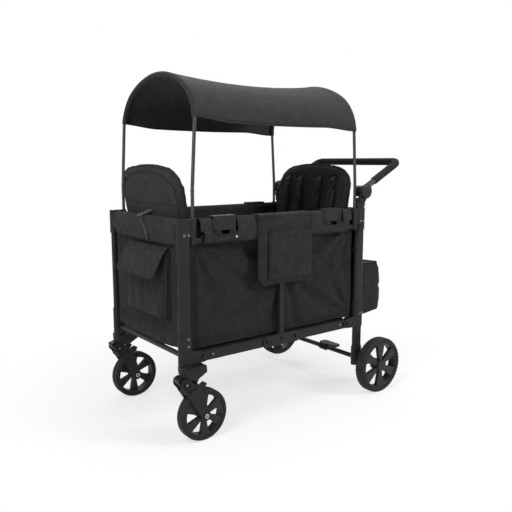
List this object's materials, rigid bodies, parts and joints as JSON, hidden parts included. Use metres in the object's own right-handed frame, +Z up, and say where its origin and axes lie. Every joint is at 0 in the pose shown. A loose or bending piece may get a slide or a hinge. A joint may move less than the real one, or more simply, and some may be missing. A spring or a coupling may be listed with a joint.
{
  "type": "stroller wagon",
  "caption": "Folding stroller wagon with a cloth tub, facing padded seats, sliding arched canopy, sprung swivel front casters, rear axle and tilting push handle.",
  "frame": {"origin": "on the ground under the middle of the overall length and width", "axes": "+X to the rear and the push handle, +Y to the wagon's right, +Z up"},
  "size_m": [1.2478, 0.761, 1.3784],
  "materials": {
    "black_metal": "satin black powder coat",
    "black_plastic": "fine grained",
    "bolt_metal": "bronze plated",
    "rod_metal": "anodised grey",
    "tyre": "matt rubber",
    "grip_foam": "foam",
    "canopy_cloth": "woven charcoal",
    "black_cloth": "woven black polyester",
    "seat_cloth": "padded black cloth"
  },
  "bodies": {
    "front_frame": {"front_posts": "black_metal", "front_cross_tubes": "black_metal", "front_corner_caps": "black_plastic", "front_hinge_lugs": "black_plastic", "front_bolts": "bolt_metal", "front_panel": "black_cloth", "front_pocket": "black_cloth", "side_fabrics": "black_cloth"},
    "pocket_flap": {"front_pocket_flap": "black_cloth"},
    "front_lower": {"front_lower_rails": "black_metal", "front_floor_board": "black_plastic"},
    "front_upper": {"front_upper_rails": "black_metal", "front_rail_hooks": "black_plastic"},
    "centre": {"centre_plates": "black_metal", "centre_posts": "black_metal", "centre_bolts": "bolt_metal", "centre_floor_board": "black_plastic", "side_organizer": "black_cloth"},
    "rear_lower": {"rear_lower_rails": "black_metal", "rear_floor_board": "black_plastic"},
    "rear_upper": {"rear_upper_rails": "black_metal", "rear_rail_hooks": "black_plastic"},
    "rear_frame": {"rear_posts": "black_metal", "rear_cross_tubes": "black_metal", "rear_corner_caps": "black_plastic", "rear_hinge_lugs": "black_plastic", "rear_bolts": "bolt_metal", "rear_panel": "black_cloth", "rear_bag": "black_cloth", "rear_axle": "black_metal", "handle_hinge_hubs": "black_plastic"},
    "handle": {"handle_bar": "black_metal", "handle_grip": "grip_foam"},
    "button_left": {"handle_button_left": "black_plastic"},
    "button_right": {"handle_button_right": "black_plastic"},
    "latch": {"fold_latch": "black_plastic"},
    "brake": {"brake_pedal": "black_plastic"},
    "canopy_front": {"front_arch": "rod_metal", "canopy_fabric": "canopy_cloth"},
    "canopy_rear": {"rear_arch": "rod_metal"},
    "twist_front_left": {"collar_front_left": "black_plastic"},
    "twist_front_right": {"collar_front_right": "black_plastic"},
    "twist_rear_left": {"collar_rear_left": "black_plastic"},
    "twist_rear_right": {"collar_rear_right": "black_plastic"},
    "front_pan": {"front_seat_pan": "seat_cloth"},
    "rear_pan": {"rear_seat_pan": "seat_cloth"},
    "front_back": {"front_seat_back": "seat_cloth"},
    "rear_back": {"rear_seat_back": "seat_cloth"},
    "yoke_left": {"caster_yoke_left": "black_plastic"},
    "fork_left": {"fork_left": "black_plastic"},
    "front_wheel_left": {"front_tyre_left": "tyre", "front_rim_left": "black_plastic"},
    "rear_wheel_left": {"rear_tyre_left": "tyre", "rear_rim_left": "black_plastic"},
    "yoke_right": {"caster_yoke_right": "black_plastic"},
    "fork_right": {"fork_right": "black_plastic"},
    "front_wheel_right": {"front_tyre_right": "tyre", "front_rim_right": "black_plastic"},
    "rear_wheel_right": {"rear_tyre_right": "tyre", "rear_rim_right": "black_plastic"}
  },
  "joints": [
    {"name": "frame_fold", "type": "hinge", "parent": "front_frame", "child": "front_lower", "pos_m": [-0.48811, 0, 0.323], "axis": [0, -1, 0], "range_deg": [0, 75], "deforming": ["side_fabrics", "canopy_fabric"]},
    {"name": "centre_fold", "type": "hinge", "parent": "front_lower", "child": "centre", "pos_m": [-0.18311, 0, 0.323], "axis": [0, -1, 0], "range_deg": [-75, 0]},
    {"name": "rear_lower_fold", "type": "hinge", "parent": "centre", "child": "rear_lower", "pos_m": [-0.03311, 0, 0.323], "axis": [0, -1, 0], "range_deg": [-75, 0]},
    {"name": "rear_frame_fold", "type": "hinge", "parent": "rear_lower", "child": "rear_frame", "pos_m": [0.27189, 0, 0.323], "axis": [0, -1, 0], "range_deg": [0, 75]},
    {"name": "front_upper_fold", "type": "hinge", "parent": "front_frame", "child": "front_upper", "pos_m": [-0.48811, 0, 0.812], "axis": [0, -1, 0], "range_deg": [0, 75]},
    {"name": "rear_upper_fold", "type": "hinge", "parent": "centre", "child": "rear_upper", "pos_m": [-0.03311, 0, 0.812], "axis": [0, -1, 0], "range_deg": [-75, 0]},
    {"name": "front_pan_fold", "type": "hinge", "parent": "front_frame", "child": "front_pan", "pos_m": [-0.44211, 0, 0.638], "axis": [0, -1, 0], "range_deg": [0, 90]},
    {"name": "rear_pan_fold", "type": "hinge", "parent": "rear_frame", "child": "rear_pan", "pos_m": [0.22589, 0, 0.638], "axis": [0, 1, 0], "range_deg": [0, 90]},
    {"name": "front_back_recline", "type": "hinge", "parent": "front_frame", "child": "front_back", "pos_m": [-0.48084, 0, 0.63], "axis": [0, 1, 0], "range_deg": [0, 10]},
    {"name": "rear_back_recline", "type": "hinge", "parent": "rear_frame", "child": "rear_back", "pos_m": [0.26462, 0, 0.63], "axis": [0, -1, 0], "range_deg": [0, 10]},
    {"name": "handle_tilt", "type": "hinge", "parent": "rear_frame", "child": "handle", "pos_m": [0.35989, 0, 0.91], "axis": [0, -1, 0], "range_deg": [-60, 40]},
    {"name": "handle_button_left", "type": "slide", "parent": "rear_frame", "child": "button_left", "axis": [0, 1, 0], "range_m": [0, 0.004], "stiffness_N_per_m": 400},
    {"name": "handle_button_right", "type": "slide", "parent": "rear_frame", "child": "button_right", "axis": [0, -1, 0], "range_m": [0, 0.004], "stiffness_N_per_m": 400},
    {"name": "brake_pedal", "type": "hinge", "parent": "rear_frame", "child": "brake", "pos_m": [0.40689, 0, 0.125], "axis": [0, 1, 0], "range_deg": [0, 20]},
    {"name": "fold_latch", "type": "hinge", "parent": "rear_frame", "child": "latch", "pos_m": [0.33589, -0.2908, 0.76], "axis": [0, -1, 0], "range_deg": [0, 60]},
    {"name": "canopy_slide", "type": "slide", "parent": "front_frame", "child": "canopy_front", "axis": [0, 0, 1], "range_m": [-0.08, 0.02]},
    {"name": "canopy_slide_rear", "type": "slide", "parent": "rear_frame", "child": "canopy_rear", "axis": [0, 0, 1], "range_m": [-0.08, 0.02]},
    {"name": "twist_front_left", "type": "hinge", "parent": "front_frame", "child": "twist_front_left", "pos_m": [-0.52311, -0.279, 0.758], "axis": [0, 0, -1], "range_deg": [0, 75]},
    {"name": "twist_front_right", "type": "hinge", "parent": "front_frame", "child": "twist_front_right", "pos_m": [-0.52311, 0.279, 0.758], "axis": [0, 0, 1], "range_deg": [0, 75]},
    {"name": "twist_rear_left", "type": "hinge", "parent": "rear_frame", "child": "twist_rear_left", "pos_m": [0.30689, -0.279, 0.758], "axis": [0, 0, 1], "range_deg": [0, 75]},
    {"name": "twist_rear_right", "type": "hinge", "parent": "rear_frame", "child": "twist_rear_right", "pos_m": [0.30689, 0.279, 0.758], "axis": [0, 0, -1], "range_deg": [0, 75]},
    {"name": "pocket_flap", "type": "hinge", "parent": "front_frame", "child": "pocket_flap", "pos_m": [-0.62191, -0.038, 0.725], "axis": [0, 1, 0], "range_deg": [0, 110]},
    {"name": "caster_swivel_left", "type": "hinge", "parent": "front_frame", "child": "yoke_left", "pos_m": [-0.56411, -0.281, 0.284], "axis": [0, 0, 1], "continuous": true},
    {"name": "suspension_left", "type": "hinge", "parent": "yoke_left", "child": "fork_left", "pos_m": [-0.57911, -0.281, 0.239], "axis": [0, -1, 0], "range_deg": [0, 12], "stiffness_Nm_per_rad": 70, "springref_deg": -11.46},
    {"name": "front_spin_left", "type": "hinge", "parent": "fork_left", "child": "front_wheel_left", "pos_m": [-0.49611, -0.281, 0.1], "axis": [0, 1, 0], "continuous": true},
    {"name": "rear_spin_left", "type": "hinge", "parent": "rear_frame", "child": "rear_wheel_left", "pos_m": [0.40689, -0.352, 0.125], "axis": [0, 1, 0], "continuous": true},
    {"name": "caster_swivel_right", "type": "hinge", "parent": "front_frame", "child": "yoke_right", "pos_m": [-0.56411, 0.281, 0.284], "axis": [0, 0, 1], "continuous": true},
    {"name": "suspension_right", "type": "hinge", "parent": "yoke_right", "child": "fork_right", "pos_m": [-0.57911, 0.281, 0.239], "axis": [0, -1, 0], "range_deg": [0, 12], "stiffness_Nm_per_rad": 70, "springref_deg": -11.46},
    {"name": "front_spin_right", "type": "hinge", "parent": "fork_right", "child": "front_wheel_right", "pos_m": [-0.49611, 0.281, 0.1], "axis": [0, 1, 0], "continuous": true},
    {"name": "rear_spin_right", "type": "hinge", "parent": "rear_frame", "child": "rear_wheel_right", "pos_m": [0.40689, 0.352, 0.125], "axis": [0, 1, 0], "continuous": true}
  ],
  "couplings": [
    {"joint": "centre_fold", "follows": "frame_fold", "ratio": -1},
    {"joint": "rear_lower_fold", "follows": "frame_fold", "ratio": -1},
    {"joint": "rear_frame_fold", "follows": "frame_fold", "ratio": 1},
    {"joint": "front_upper_fold", "follows": "frame_fold", "ratio": 1},
    {"joint": "rear_upper_fold", "follows": "frame_fold", "ratio": -1},
    {"joint": "front_pan_fold", "follows": "frame_fold", "ratio": 1.2},
    {"joint": "rear_pan_fold", "follows": "frame_fold", "ratio": 1.2},
    {"joint": "canopy_slide_rear", "follows": "canopy_slide", "ratio": 1}
  ]
}
